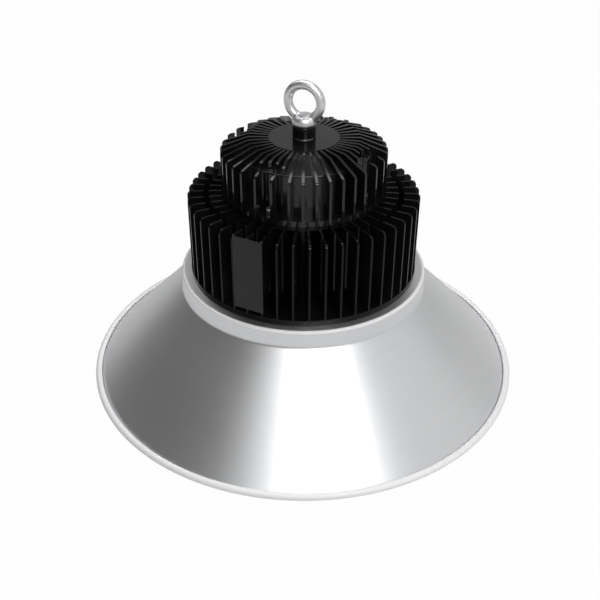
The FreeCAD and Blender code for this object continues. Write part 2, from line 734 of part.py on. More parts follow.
screws("board_screws", "board_screw_circle", "board_screw_total", BOARD_FOOT, "small_shank",
       "board_screw_length", "small_head", "small_head_height", f"fin_phase + {BETWEEN}", up=False)

chips = keep(new_body("led_chips"), "led_chips")
rings = []
for ring, reach in enumerate(("chip_circle_inner", "chip_circle_middle", "chip_circle_outer"), start=1):
    chip_sketch = new_sketch(chips, f"chip_outline_{ring}", "XY_Plane", lift=BOARD_FOOT)
    outline(chip_sketch, [
        (f"{reach} - chip_side / 2", "0 - chip_side / 2"),
        (f"{reach} + chip_side / 2", "0 - chip_side / 2"),
        (f"{reach} + chip_side / 2", "chip_side / 2"),
        (f"{reach} - chip_side / 2", "chip_side / 2"),
    ])
    chip = pad(chips, f"chip_{ring}", chip_sketch, "chip_height", down=True)
    ring_of(chips, f"chips_{ring}", [chip], f"chip_step * {ring}")
turn(chips, "fin_phase")

# Lens: glass in a moulded gasket, held up by a flanged ring
glass = keep(new_body("glass_cover"), "glass_cover")
revolve(glass, "disc", [
    ("0", GLASS_FOOT),
    ("glass_radius", GLASS_FOOT),
    ("glass_radius", GLASS_TOP),
    ("0", GLASS_TOP),
])
lens_gasket = keep(new_body("lens_gasket"), "lens_gasket")
revolve(lens_gasket, "ring", [
    ("lens_gasket_inner", GLASS_TOP),
    ("glass_radius + fit_gap", GLASS_TOP),
    ("glass_radius + fit_gap", GLASS_FOOT),
    (GASKET_RADIUS, GLASS_FOOT),
    (GASKET_RADIUS, REFLECTOR_SEAT),
    ("lens_gasket_inner", REFLECTOR_SEAT),
])
RING_BORE = f"({GASKET_RADIUS} + fit_gap)"
RING_FOOT = f"({GLASS_FOOT} - lens_ring_wall)"
RING_FLANGE = f"({REFLECTOR_SEAT} - lens_flange_thickness)"
lens_ring = keep(new_body("lens_ring"), "lens_ring")
revolve(lens_ring, "ring", [
    ("lens_ring_bore", RING_FOOT),
    (f"{RING_BORE} + lens_ring_wall", RING_FOOT),
    (f"{RING_BORE} + lens_ring_wall", RING_FLANGE),
    ("lens_ring_flange", RING_FLANGE),
    ("lens_ring_flange", REFLECTOR_SEAT),
    (RING_BORE, REFLECTOR_SEAT),
    (RING_BORE, GLASS_FOOT),
    ("lens_ring_bore", GLASS_FOOT),
])
drill(lens_ring, "screw", "lens_screw_circle", "small_shank + shank_gap", REFLECTOR_SEAT,
      "lens_flange_thickness", "lens_screw_total")
turn(lens_ring, "fin_phase")
screws("lens_ring_screws", "lens_screw_circle", "lens_screw_total", RING_FLANGE, "small_shank",
       "lens_screw_length", "small_head", "small_head_height", "fin_phase", up=False)
screws("reflector_screws", "reflector_screw_circle", "reflector_screw_total", REFLECTOR_SEAT,
       "small_shank", "reflector_screw_length", "small_head", "small_head_height", f"fin_phase + {CORNER}",
       up=False)

# Driver on an insulating sheet, with its terminals and its two leads down to the board
driver_sheet = keep(new_body("driver_sheet"), "driver_sheet")
revolve(driver_sheet, "sheet", [
    ("sheet_bore", FIN_TOP),
    ("driver_foot", FIN_TOP),
    ("driver_foot", DRIVER_SEAT),
    ("sheet_bore", DRIVER_SEAT),
])
drill(driver_sheet, "screw", "driver_screw_circle", "small_shank + shank_gap", DRIVER_SEAT,
      "sheet_thickness", "quarter_total", angle=CORNER)
turn(driver_sheet, "housing_phase")
driver = keep(new_body("led_driver"), "led_driver")
revolve(driver, "case", [
    ("0", DRIVER_SEAT),
    ("driver_foot", DRIVER_SEAT),
    ("driver_foot", f"{DRIVER_SEAT} + driver_foot_thickness"),
    ("driver_radius", f"{DRIVER_SEAT} + driver_foot_thickness"),
    ("driver_radius", f"{DRIVER_TOP} - driver_edge"),
    ("driver_radius - driver_edge", DRIVER_TOP),
    ("0", DRIVER_TOP),
])
drill(driver, "screw", "driver_screw_circle", "small_shank + shank_gap",
      f"{DRIVER_SEAT} + driver_foot_thickness", "driver_foot_thickness", "quarter_total", angle=CORNER)
turn(driver, "housing_phase")
screws("driver_screws", "driver_screw_circle", "quarter_total", f"{DRIVER_SEAT} + driver_foot_thickness",
       "small_shank", "driver_screw_length", "small_head", "small_head_height", f"housing_phase + {CORNER}")

terminal = keep(new_body("terminal_block"), "terminal_block")
terminal_sketch = new_sketch(terminal, "block_outline", "XY_Plane", lift=DRIVER_TOP)
outline(terminal_sketch, [
    ("terminal_reach - terminal_width / 2", "0 - terminal_length / 2"),
    ("terminal_reach + terminal_width / 2", "0 - terminal_length / 2"),
    ("terminal_reach + terminal_width / 2", "terminal_length / 2"),
    ("terminal_reach - terminal_width / 2", "terminal_length / 2"),
])
pad(terminal, "block", terminal_sketch, "terminal_height")
recess_sketch = new_sketch(terminal, "recess_circles", "XY_Plane", lift=f"{DRIVER_TOP} + terminal_height")
for place in (-1, 0, 1):
    circle(recess_sketch, "terminal_reach", "terminal_screw", f"terminal_pitch * {place}" if place else "0")
pocket(terminal, "recesses", recess_sketch, "terminal_screw")
turn(terminal, "housing_phase")

leads = keep(new_body("output_leads"), "output_leads")
lead_sketch = new_sketch(leads, "lead_circle", "XY_Plane", lift=f"{BOARD_FOOT} - lead_tail")
circle(lead_sketch, "lead_spacing", "lead_radius")
lead = pad(leads, "lead", lead_sketch, f"{DRIVER_SEAT} - {BOARD_FOOT} + lead_tail")
ring_of(leads, "leads", [lead], "lead_total")
turn(leads, "fin_phase")
grommet = keep(new_body("wire_grommet"), "wire_grommet")
revolve(grommet, "plug", [
    ("0", f"{CORE_FLOOR} - grommet_height"),
    ("lead_hole - thread_gap", f"{CORE_FLOOR} - grommet_height"),
    ("lead_hole - thread_gap", CORE_FLOOR),
    ("grommet_flange", CORE_FLOOR),
    ("grommet_flange", f"{CORE_FLOOR} + grommet_flange_height"),
    ("0", f"{CORE_FLOOR} + grommet_flange_height"),
])
drill(grommet, "lead", "lead_spacing", "lead_radius + lead_gap",
      f"{CORE_FLOOR} + grommet_flange_height", "grommet_height + grommet_flange_height", "lead_total")
turn(grommet, "fin_phase")

# Cable gland, drawn with the face of its boss at zero and laid in at the back
HEX_FOOT = "gland_washer_thickness"
NECK_FOOT = "(gland_washer_thickness + gland_hex_length)"
NECK_TOP = f"({NECK_FOOT} + gland_neck_length)"
CAP_FOOT = f"({NECK_FOOT} + fit_gap)"
CAP_TOP = f"({CAP_FOOT} + gland_cap_length)"
CAP_SEAT = f"({CAP_TOP} - gland_cap_wall)"
gland_washer = keep(new_body("gland_washer"), "gland_washer")
revolve(gland_washer, "ring", [
    ("gland_thread + thread_gap", "0"),
    ("gland_washer_radius", "0"),
    ("gland_washer_radius", HEX_FOOT),
    ("gland_thread + thread_gap", HEX_FOOT),
])
lay_in_gland(gland_washer)
gland_body = keep(new_body("gland_body"), "gland_body")
revolve(gland_body, "tube", [
    ("gland_bore", "0 - gland_thread_length"),
    ("gland_thread", "0 - gland_thread_length"),
    ("gland_thread", f"{HEX_FOOT} + root"),
    ("gland_neck", f"{HEX_FOOT} + root"),
    ("gland_neck", NECK_TOP),
    ("gland_seal_radius + thread_gap", NECK_TOP),
    ("gland_seal_radius + thread_gap", "gland_seal_seat"),
    ("gland_bore", "gland_seal_seat"),
])
hex_sketch = new_sketch(gland_body, "hex_outline", "XY_Plane", lift=HEX_FOOT)
hexagon(hex_sketch, "0", "gland_hex")
circle(hex_sketch, "0", "gland_thread")
pad(gland_body, "hex", hex_sketch, "gland_hex_length")
lay_in_gland(gland_body)
gland_seal = keep(new_body("gland_seal"), "gland_seal")
revolve(gland_seal, "sleeve", [
    ("cable_radius", "gland_seal_seat"),
    ("gland_seal_radius", "gland_seal_seat"),
    ("gland_seal_radius", CAP_SEAT),
    ("cable_radius", CAP_SEAT),
])
lay_in_gland(gland_seal)
gland_cap = keep(new_body("gland_cap"), "gland_cap")
revolve(gland_cap, "dome", [
    ("gland_neck + thread_gap", CAP_FOOT),
    ("gland_cap_radius", CAP_FOOT),
    ("gland_cap_radius", f"{CAP_TOP} - gland_cap_round"),
    ("gland_cap_radius - gland_cap_round", CAP_TOP),
    ("gland_bore", CAP_TOP),
    ("gland_bore", CAP_SEAT),
    ("gland_neck + thread_gap", CAP_SEAT),
])
lay_in_gland(gland_cap)

# Bare plate, flat against the outer end of one fin
plate = keep(new_body("label_plate"), "label_plate")
plate_sketch = new_sketch(plate, "plate_outline", "XY_Plane", lift=f"{BASE_TOP} + plate_lift")
outline(plate_sketch, [
    ("fin_radius", "plate_shift - plate_width / 2"),
    ("fin_radius + plate_thickness", "plate_shift - plate_width / 2"),
    ("fin_radius + plate_thickness", "plate_shift + plate_width / 2"),
    ("fin_radius", "plate_shift + plate_width / 2"),
])
pad(plate, "plate", plate_sketch, "plate_height")
turn(plate, "fin_phase - 360 * plate_fin / fin_total")

# Every sub-part is checked, then written out
doc.recompute()
for item in doc.Objects:
    if {"Invalid", "Error"} & set(item.State):
        raise RuntimeError(f"{item.Name} did not recompute")
for part in subparts:
    if part.Shape.isNull() or not part.Shape.isValid():
        raise RuntimeError(f"{part.Label} has no valid shape")
os.makedirs("parts", exist_ok=True)
for part in subparts:
    part.Shape.exportStep(f"parts/{part.Label}.step")
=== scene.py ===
"""Industrial high bay light: spun reflector, finned heat sink, finned driver housing and eye bolt.

The light stands on the rim of its reflector, its axis is Z, and the viewer is on the side of -Y. Lengths
are in metres. Angles are in degrees where a class or an argument keeps them.
"""

from __future__ import annotations

import json
import logging
import math
from dataclasses import dataclass, field
from enum import Enum
from typing import Any, Iterable, Sequence

import bmesh
import bpy
from mathutils import Matrix, Vector

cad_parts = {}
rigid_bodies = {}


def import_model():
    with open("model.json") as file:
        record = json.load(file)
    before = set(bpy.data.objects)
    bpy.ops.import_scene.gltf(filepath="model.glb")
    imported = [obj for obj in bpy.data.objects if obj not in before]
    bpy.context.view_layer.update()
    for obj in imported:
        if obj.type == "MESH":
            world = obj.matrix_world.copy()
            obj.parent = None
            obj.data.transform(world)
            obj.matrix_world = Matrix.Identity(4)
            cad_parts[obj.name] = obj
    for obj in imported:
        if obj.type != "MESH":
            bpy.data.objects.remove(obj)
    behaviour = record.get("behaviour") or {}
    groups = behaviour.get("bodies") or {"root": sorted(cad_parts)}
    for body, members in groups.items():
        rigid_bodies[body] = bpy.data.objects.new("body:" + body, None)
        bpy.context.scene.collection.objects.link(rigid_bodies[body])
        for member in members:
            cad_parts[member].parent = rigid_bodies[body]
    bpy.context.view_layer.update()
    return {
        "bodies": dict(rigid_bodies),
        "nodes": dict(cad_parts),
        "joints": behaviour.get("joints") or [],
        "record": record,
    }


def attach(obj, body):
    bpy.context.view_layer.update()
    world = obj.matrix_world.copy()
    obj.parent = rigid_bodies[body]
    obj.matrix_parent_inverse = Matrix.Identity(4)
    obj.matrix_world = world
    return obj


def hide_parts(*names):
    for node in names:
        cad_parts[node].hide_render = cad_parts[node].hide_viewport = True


logging.basicConfig(level=logging.INFO, format="%(message)s")
log = logging.getLogger("high_bay_light")

Colour = tuple[float, float, float]
Point = tuple[float, float]
Place = tuple[float, float, float]

ROOT = "root"
FULL_TURN = 360.0  # degrees
QUARTER = math.pi / 2.0  # radians
WELD = 0.000002  # corners of a frame's solid this close become one
TURN_WELD = 0.000005  # the same for a turned piece
FLAT_ANGLE = 0.4  # neighbouring faces that bend less than this become one
FACES_UP = 0.9  # a normal at least this high faces up
NOISE_MIDDLE = 0.5
NOISE_SPREAD = (0.3, 0.7)  # nearly all of a noise lies in this range
WHITE = (1.0, 1.0, 1.0, 1.0)


class Signal:
    """A shader socket that takes part in ordinary sums, each sum adding its Math nodes."""

    def __init__(self, shader: "Shader", socket: bpy.types.NodeSocket) -> None:
        """Keeps the socket and its shader."""
        self.shader = shader
        self.socket = socket

    def _math(self, operation: str, *terms: Any) -> "Signal":
        """Adds one Math node.

        Args:
            operation: Name of the Math node's operation.
            terms: Its inputs, numbers or signals.

        Returns:
            The node's output.
        """
        node = self.shader.node("ShaderNodeMath", {"operation": operation}, dict(enumerate(terms)))
        return Signal(self.shader, node.outputs[0])

    def __add__(self, other: Any) -> "Signal":
        """Sum."""
        return self._math("ADD", self, other)

    __radd__ = __add__

    def __sub__(self, other: Any) -> "Signal":
        """Difference."""
        return self._math("SUBTRACT", self, other)

    def __rsub__(self, other: Any) -> "Signal":
        """Difference the other way round."""
        return self._math("SUBTRACT", other, self)

    def __mul__(self, other: Any) -> "Signal":
        """Product."""
        return self._math("MULTIPLY", self, other)

    def __pow__(self, other: Any) -> "Signal":
        """Power."""
        return self._math("POWER", self, other)

    def at_least(self, other: Any) -> "Signal":
        """The larger of two."""
        return self._math("MAXIMUM", self, other)

    def ramp(self, low: float, high: float, start: float = 0.0, end: float = 1.0) -> "Signal":
        """Maps a range smoothly to another and holds it there.

        Args:
            low: Value that gives start.
            high: Value that gives end.
            start: Result at low.
            end: Result at high.

        Returns:
            The mapped signal.
        """
        node = self.shader.node(
            "ShaderNodeMapRange",
            {"interpolation_type": "SMOOTHSTEP"},
            {"Value": self, "From Min": low, "From Max": high, "To Min": start, "To Max": end},
        )
        return Signal(self.shader, node.outputs["Result"])


class Shader:
    """Node tree of one material or of the world."""

    def __init__(self, tree: bpy.types.NodeTree) -> None:
        """Clears the tree and starts it afresh."""
        self.tree = tree
        tree.nodes.clear()

    def node(self, kind: str, settings: dict[str, Any], values: dict[Any, Any]) -> bpy.types.Node:
        """Adds a node.

        Args:
            kind: Type name of the node.
            settings: Properties to set first, such as an operation.
            values: Input name or number to a value, a signal or a socket.

        Returns:
            The new node.
        """
        made = self.tree.nodes.new(kind)
        for name, value in settings.items():
            setattr(made, name, value)
        for name, value in values.items():
            if isinstance(value, Signal):
                self.tree.links.new(value.socket, made.inputs[name])
            elif isinstance(value, bpy.types.NodeSocket):
                self.tree.links.new(value, made.inputs[name])
            else:
                made.inputs[name].default_value = value
        return made

    def place(self) -> bpy.types.NodeSocket:
        """Position on the object, in metres in its own frame."""
        return self.node("ShaderNodeTexCoord", {}, {}).outputs["Object"]

    def axes(self) -> tuple[Signal, Signal, Signal]:
        """Position on the object as three signals."""
        split = self.node("ShaderNodeSeparateXYZ", {}, {0: self.place()})
        return tuple(Signal(self, split.outputs[index]) for index in range(3))

    def vector(self, x: Any, y: Any, z: Any) -> bpy.types.NodeSocket:
        """Puts three signals or numbers together."""
        return self.node("ShaderNodeCombineXYZ", {}, {0: x, 1: y, 2: z}).outputs[0]

    def noise(self, scale: float, octaves: float = 2.0, where: Any = None) -> Signal:
        """Adds noise from 0 to 1.

        Args:
            scale: Cells to a metre.
            octaves: Octaves of finer noise on top.
            where: Vector socket to read, or None for the object's own place.

        Returns:
            The noise.
        """
        values = {"Vector": where or self.place(), "Scale": scale, "Detail": octaves}
        return Signal(self, self.node("ShaderNodeTexNoise", {}, values).outputs[0])

    def mix(self, factor: Any, first: Colour, second: Colour) -> bpy.types.NodeSocket:
        """Mixes two colours.

        Args:
            factor: 0 for the first, 1 for the second.
            first: Colour at 0.
            second: Colour at 1.

        Returns:
            The mixed colour.
        """
        factor_input, first_input, second_input, colour_output = 0, 6, 7, 2
        values = {factor_input: factor, first_input: (*first, 1.0), second_input: (*second, 1.0)}
        return self.node("ShaderNodeMix", {"data_type": "RGBA"}, values).outputs[colour_output]

    def bump(self, height: Signal, depth: float, below: Any = None) -> bpy.types.NodeSocket:
        """Adds relief.

        Args:
            height: Height from 0 to 1.
            depth: Depth that 1 stands for, in metres.
            below: Normal of a bump to lie on, if there is one.

        Returns:
            The bent normal.
        """
        values = {"Strength": 1.0, "Distance": depth, "Height": height}
        if below is not None:
            values["Normal"] = below
        return self.node("ShaderNodeBump", {}, values).outputs[0]

    def backdrop(self, mirrored: float) -> Signal:
        """Says how much of the plain white backdrop a ray sees.

        Args:
            mirrored: Share for rays that come off the object as reflections.

        Returns:
            1 for the camera and through glass, the share for reflections, 0 for light on the object.
        """
        path = self.node("ShaderNodeLightPath", {}, {})
        straight = Signal(self, path.outputs["Is Camera Ray"])
        through = Signal(self, path.outputs["Is Transmission Ray"])
        return straight.at_least(through).at_least(Signal(self, path.outputs["Is Glossy Ray"]) * mirrored)

    def surface(self, values: dict[str, Any]) -> None:
        """Ends the tree in a Principled shader with these inputs."""
        shader = self.node("ShaderNodeBsdfPrincipled", {}, values)
        self.node("ShaderNodeOutputMaterial", {}, {"Surface": shader.outputs[0]})


def blend(parts: Sequence[Signal], shares: Sequence[float]) -> Signal:
    """Adds signals up, each by its share."""
    return sum((part * share for part, share in zip(parts, shares)), 0.0)


def from_axis(shader: Shader) -> Signal:
    """Distance from the lamp's axis."""
    x, y, _ = shader.axes()
    return (x * x + y * y) ** 0.5


@dataclass(frozen=True)
class Finish:
    """A surface finish; each kind says how its nodes are laid."""

    name: str

    def lay(self, shader: Shader) -> None:
        """Lays the nodes in a shader."""
        raise NotImplementedError

    def material(self) -> bpy.types.Material:
        """Makes the finish a material, once.

        Returns:
            The material.
        """
        # The frame's plain materials already bear the names of the slots.
        name = f"{self.name}_finish"
        found = bpy.data.materials.get(name)
        if found is not None:
            return found
        made = bpy.data.materials.new(name)
        made.use_nodes = True
        self.lay(Shader(made.node_tree))
        return made


@dataclass(frozen=True)
class SpunSheet(Finish):
    """Sheet metal turned on a lathe, then anodised: fine rings round the axis and a speckled sheen."""

    colour: Colour = (0.8, 0.81, 0.82)
    shade: Colour = (0.79, 0.8, 0.81)
    tone_shares: tuple[float, ...] = (0.25, 0.45, 0.1, 0.2)
    tone_top: float = 0.5
    gloss: float = 0.38
    grain_gloss: float = 0.16
    cloud_gloss: float = 0.08
    ring_pitch: float = 0.0009
    ring_depth: float = 0.0000045
    band_share: float = 0.12
    grain_depth: float = 1.6
    speckle: float = 1500.0
    cloud: float = 9.0
    bead_start: float = 0.1985
    bead_fade: float = 0.001
    shoulder_start: float = 0.1112
    shoulder_fade: float = 0.0006
    shoulder_height: float = 0.1047
    shoulder_rise: float = 0.0008
    # Painted highlight on the bead and shoulder bends: its strength, the roughness it adds and the metal it
    # takes away.
    edge_highlight_paint: float = 0.0
    highlight_paint_gloss: float = 0.3
    highlight_paint_metal: float = 0.75

    def edges(self, radius: Signal, height: Signal) -> Signal:
        """Finds the bead and the shoulder, whose bends carry a painted highlight: paler and less metallic
        than the flat sheet.

        Args:
            radius: Distance from the lamp's axis.
            height: Height over the floor.

        Returns:
            1 on the bends, 0 elsewhere.
        """
        above = height.ramp(self.shoulder_height, self.shoulder_height + self.shoulder_rise)
        outside = radius.ramp(self.shoulder_start, self.shoulder_start + self.shoulder_fade)
        return radius.ramp(self.bead_start, self.bead_start + self.bead_fade).at_least(above * outside)

    def lay(self, shader: Shader) -> None:
        """Lays rings by radius and height, and a speckle that is even all over.

        Args:
            shader: Shader to fill.
        """
        radius = from_axis(shader)
        height = shader.axes()[2]
        along = shader.vector(radius, height, 0.0)
        rings = shader.noise(1.0 / self.ring_pitch, where=along)
        bands = shader.noise(self.band_share / self.ring_pitch, where=along)
        grain = shader.noise(self.speckle)
        cloud = shader.noise(self.cloud, octaves=3.0)
        mixed = blend((rings, grain, bands, cloud), self.tone_shares)
        tone = mixed.ramp(*NOISE_SPREAD, 0.0, self.tone_top)
        rough = (self.gloss + (grain - NOISE_MIDDLE) * self.grain_gloss
                 + (cloud - NOISE_MIDDLE) * self.cloud_gloss)
        # Painted highlight: the bends are painted paler, made less metallic and rougher, in place of the
        # highlight lines along them.
        painted_highlight = self.edges(radius, height) * self.edge_highlight_paint
        low = shader.bump(grain * (1.0 - painted_highlight), self.ring_depth * self.grain_depth)
        shader.surface({
            "Base Color": shader.mix(tone + painted_highlight, self.shade, self.colour),
            "Metallic": 1.0 - painted_highlight * self.highlight_paint_metal,
            "Roughness": rough + painted_highlight * self.highlight_paint_gloss,
            "Normal": shader.bump(rings * (1.0 - painted_highlight), self.ring_depth, low),
        })


@dataclass(frozen=True)
class BlackCoat(Finish):
    """Black coat on a casting: a soft gloss, a faint orange peel and dust in patches."""

    colour: Colour = (0.0045, 0.0045, 0.0048)
    dust: Colour = (0.009, 0.009, 0.0093)
    dust_patches: float = 28.0
    dust_range: Point = (0.45, 0.75)
    dust_gloss: float = 0.1
    gloss: float = 0.16
    fine_gloss: float = 0.06
    sheen: float = 0.5
    peel_size: float = 0.0011
    peel_depth: float = 0.000008
    fine_ratio: float = 2.6
    polished_radius: float = 0.0
    polished_edge: float = 0.97
    polished_share: float = 0.35

    def lay(self, shader: Shader) -> None:
        """Lays the peel in the bump and the dust in colour and gloss.

        Args:
            shader: Shader to fill.
        """
        peel = shader.noise(1.0 / self.peel_size)
        fine = shader.noise(self.fine_ratio / self.peel_size)
        haze = shader.noise(self.dust_patches, octaves=4.0).ramp(*self.dust_range)
        rough = self.gloss + haze * self.dust_gloss + (fine - NOISE_MIDDLE) * self.fine_gloss
        if self.polished_radius:
            rim = self.polished_radius
            rough = rough * from_axis(shader).ramp(rim * self.polished_edge, rim, self.polished_share, 1.0)
        shader.surface({
            "Base Color": shader.mix(haze, self.colour, self.dust),
            "Roughness": rough,
            "Specular IOR Level": self.sheen,
            "Normal": shader.bump(peel, self.peel_depth),
        })


@dataclass(frozen=True)
class BrightPlate(Finish):
    """Zinc or chromate plating on steel: bright, faintly mottled, with fine wear marks."""

    colour: Colour = (0.9, 0.9, 0.91)
    stain: Colour = (0.8, 0.8, 0.82)
    gloss: float = 0.4
    mottle: float = 260.0
    stain_range: Point = (0.35, 0.7)
    mottle_gloss: float = 0.16
    scuff_ratio: float = 7.0
    scuff_gloss: float = 0.08
    dent: float = 0.000003
    dent_shares: tuple[float, ...] = (0.6, 0.4)

    def lay(self, shader: Shader) -> None:
        """Lays the mottle in colour and gloss, and shallow dents in the bump.

        Args:
            shader: Shader to fill.
        """
        mottle = shader.noise(self.mottle, octaves=4.0)
        scuff = shader.noise(self.mottle * self.scuff_ratio, octaves=3.0)
        rough = (self.gloss + (mottle - NOISE_MIDDLE) * self.mottle_gloss
                 + (scuff - NOISE_MIDDLE) * self.scuff_gloss)
        shader.surface({
            "Base Color": shader.mix(mottle.ramp(*self.stain_range), self.stain, self.colour),
            "Metallic": 1.0,
            "Roughness": rough,
            "Normal": shader.bump(blend((mottle, scuff), self.dent_shares), self.dent),
        })


@dataclass(frozen=True)
class Moulded(Finish):
    """Moulded plastic, rubber or paint: a slow change of tone and a fine grain."""

    colour: Colour
    shade: Colour
    gloss: float
    grain: float = 1800.0
    grain_depth: float = 0.00002
    sheen: float = 0.5
    cloud: float = 45.0
    tone_shares: tuple[float, ...] = (0.7, 0.3)
    grain_gloss: float = 0.12

    def lay(self, shader: Shader) -> None:
        """Lays the grain in the bump and the change of tone in the colour.

        Args:
            shader: Shader to fill.
        """
        grain = shader.noise(self.grain)
        cloud = shader.noise(self.cloud, octaves=3.0)
        tone = blend((cloud, grain), self.tone_shares).ramp(*NOISE_SPREAD)
        shader.surface({
            "Base Color": shader.mix(tone, self.shade, self.colour),
            "Roughness": self.gloss + (grain - NOISE_MIDDLE) * self.grain_gloss,
            "Specular IOR Level": self.sheen,
            "Normal": shader.bump(grain, self.grain_depth),
        })


@dataclass(frozen=True)
class ClearGlass(Finish):
    """Clear tempered glass with the faintest haze."""

    colour: Colour = (0.95, 0.98, 0.97)
    haze_colour: Colour = (0.92, 0.96, 0.95)
    haze: float = 30.0
    haze_range: Point = (0.4, 0.8)
    gloss: Point = (0.02, 0.06)
    refraction: float = 1.5

    def lay(self, shader: Shader) -> None:
        """Lays the haze in colour and gloss.

        Args:
            shader: Shader to fill.
        """
        haze = shader.noise(self.haze, octaves=3.0)
        shader.surface({
            "Base Color": shader.mix(haze, self.colour, self.haze_colour),
            "Roughness": haze.ramp(*self.haze_range, *self.gloss),
            "Transmission Weight": 1.0,
            "IOR": self.refraction,
        })


class Metal(Enum):
    """Finishes of the metal pieces."""

    # The reflector's bead and shoulder carry the painted highlight at full strength.
    REFLECTOR = SpunSheet("spun_aluminium", (0.93, 0.93, 0.94), edge_highlight_paint=1.0)
    RING = SpunSheet("turned_ring", gloss=0.4, ring_pitch=0.0006)
    CASTING = BlackCoat("black_casting", gloss=0.17, sheen=0.17)
    HOUSING = BlackCoat("black_housing", gloss=0.12, peel_depth=0.000005, polished_radius=0.031)
    HUB = BlackCoat("black_hub", gloss=0.1, peel_depth=0.000002, sheen=0.35)
    ZINC = BrightPlate("bright_zinc")
    SCREW = BrightPlate("screw_zinc", (0.6, 0.6, 0.62), (0.42, 0.42, 0.44), 0.3, 900.0)
    CAN = BrightPlate("driver_can", (0.7, 0.71, 0.72), (0.6, 0.61, 0.62), 0.35, 120.0)


class Soft(Enum):
    """Finishes of everything that isn't bare metal."""

    RUBBER = Moulded("black_rubber", (0.03, 0.03, 0.03), (0.02, 0.02, 0.02), 0.65)
    SILICONE = Moulded("clear_silicone", (0.62, 0.62, 0.6), (0.55, 0.55, 0.53), 0.45)
    PAD = Moulded("grey_silicone", (0.42, 0.44, 0.46), (0.36, 0.38, 0.4), 0.7)
    NYLON = Moulded("black_nylon", (0.035, 0.035, 0.036), (0.025, 0.025, 0.026), 0.42)
    PLATE = Moulded("grey_plate", (0.015, 0.015, 0.016), (0.012, 0.012, 0.013), 0.38, 2600.0, 0.000006, 0.33)
    SHEET = Moulded("white_sheet", (0.82, 0.82, 0.8), (0.76, 0.76, 0.74), 0.6)
    TERMINAL = Moulded("terminal_plastic", (0.78, 0.77, 0.73), (0.72, 0.71, 0.68), 0.4)
    LEAD = Moulded("lead_insulation", (0.5, 0.04, 0.035), (0.4, 0.03, 0.03), 0.4)
    BOARD = Moulded("white_board", (0.7, 0.72, 0.7), (0.64, 0.66, 0.64), 0.3, 1200.0, 0.000006)
    PACKAGE = Moulded("led_package", (0.9, 0.9, 0.88), (0.86, 0.86, 0.84), 0.3, 1800.0, 0.000004)
    PHOSPHOR = Moulded("led_phosphor", (0.93, 0.76, 0.2), (0.88, 0.68, 0.15), 0.25, 2200.0)
    GLASS = ClearGlass("clear_glass")


def clear_selection() -> None:
    """Leaves edit mode and deselects everything."""
    if bpy.context.object is not None and bpy.context.object.mode != "OBJECT":
        bpy.ops.object.mode_set(mode="OBJECT")
    bpy.ops.object.select_all(action="DESELECT")


def pick(piece: bpy.types.Object) -> None:
    """Makes one object the only selected and the active one.

    Args:
        piece: The object.
    """
    clear_selection()
    piece.select_set(True)
    bpy.context.view_layer.objects.active = piece


def apply(piece: bpy.types.Object, kind: str, **settings: Any) -> None:
    """Adds a modifier, sets it and applies it.

    Args:
        piece: The object.
        kind: Type of the modifier.
        settings: Its properties.
    """
    pick(piece)
    modifier = piece.modifiers.new(kind.lower(), kind)
    for name, value in settings.items():
        setattr(modifier, name, value)
    bpy.ops.object.modifier_apply(modifier=modifier.name)


def ease_edges(piece: bpy.types.Object, width: float, angle: float, outer: str = "MITER_SHARP") -> None:
    """Rounds the sharp edges of a piece.

    Args:
        piece: The object.
        width: Width of the rounding, in metres.
        angle: Edges that bend more than this are rounded, in degrees.
        outer: How outer corners are laid.
    """
    apply(piece, "BEVEL", width=width, segments=2, limit_method="ANGLE",
          angle_limit=math.radians(angle), miter_outer=outer)


def smooth(piece: bpy.types.Object, angle: float) -> None:
    """Shades a piece smooth.

    Args:
        piece: The object.
        angle: Edges that bend more than this stay sharp, in degrees.
    """
    pick(piece)
    bpy.ops.object.shade_smooth_by_angle(angle=math.radians(angle))


def unite(main: bpy.types.Object, others: Iterable[bpy.types.Object]) -> None:
    """Joins objects into one mesh.

    Args:
        main: The object that stays.
        others: The objects that go into it.
    """
    clear_selection()
    for other in others:
        other.select_set(True)
    main.select_set(True)
    bpy.context.view_layer.objects.active = main
    bpy.ops.object.join()


def dress(piece: bpy.types.Object, finish: Finish) -> None:
    """Gives an object one finish all over."""
    piece.data.materials.clear()
    piece.data.materials.append(finish.material())


def settle(piece: bpy.types.Object, finish: Finish, nodes: Sequence[str]) -> None:
    """Dresses a finished piece, lets it ride on the lamp and stand for its CAD nodes.

    Args:
        piece: The finished piece, with its place in its mesh.
        finish: Its finish.
        nodes: CAD nodes that it stands for.
    """
    dress(piece, finish)
    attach(piece, ROOT)
    if nodes:
        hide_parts(*nodes)
    log.info("%s: %d faces", piece.name, len(piece.data.polygons))


@dataclass
class Workpiece:
    """A solid of the frame taken up again: welded, its sharp edges eased and its rounds shaded smooth."""

    node: str
    finish: Finish
    slot: str
    ease: float
    ease_angle: float = 35.0
    smooth_angle: float = 32.0
    face_weight: int = 80

    def weld(self, frame: dict[str, Any]) -> bpy.types.Object:
        """Copies the solid and joins its loose triangles into whole faces.


        Returns:
            The copy.
        """
        source = frame["nodes"][self.node]
        clear_selection()
        piece = bpy.data.objects.new(f"{self.node}_finished", source.data.copy())
        bpy.context.scene.collection.objects.link(piece)
        pick(piece)
        bpy.ops.object.mode_set(mode="EDIT")
        bpy.ops.mesh.select_all(action="SELECT")
        bpy.ops.mesh.remove_doubles(threshold=WELD)
        bpy.ops.mesh.dissolve_limited(angle_limit=math.radians(FLAT_ANGLE))
        bpy.ops.object.mode_set(mode="OBJECT")
        return piece

    def build(self, frame: dict[str, Any]) -> None:
        """Makes the piece.
        """
        piece = self.weld(frame)
        ease_edges(piece, self.ease, self.ease_angle, "MITER_ARC")
        smooth(piece, self.smooth_angle)
        apply(piece, "WEIGHTED_NORMAL", keep_sharp=True, weight=self.face_weight)
        settle(piece, self.finish, [self.node])


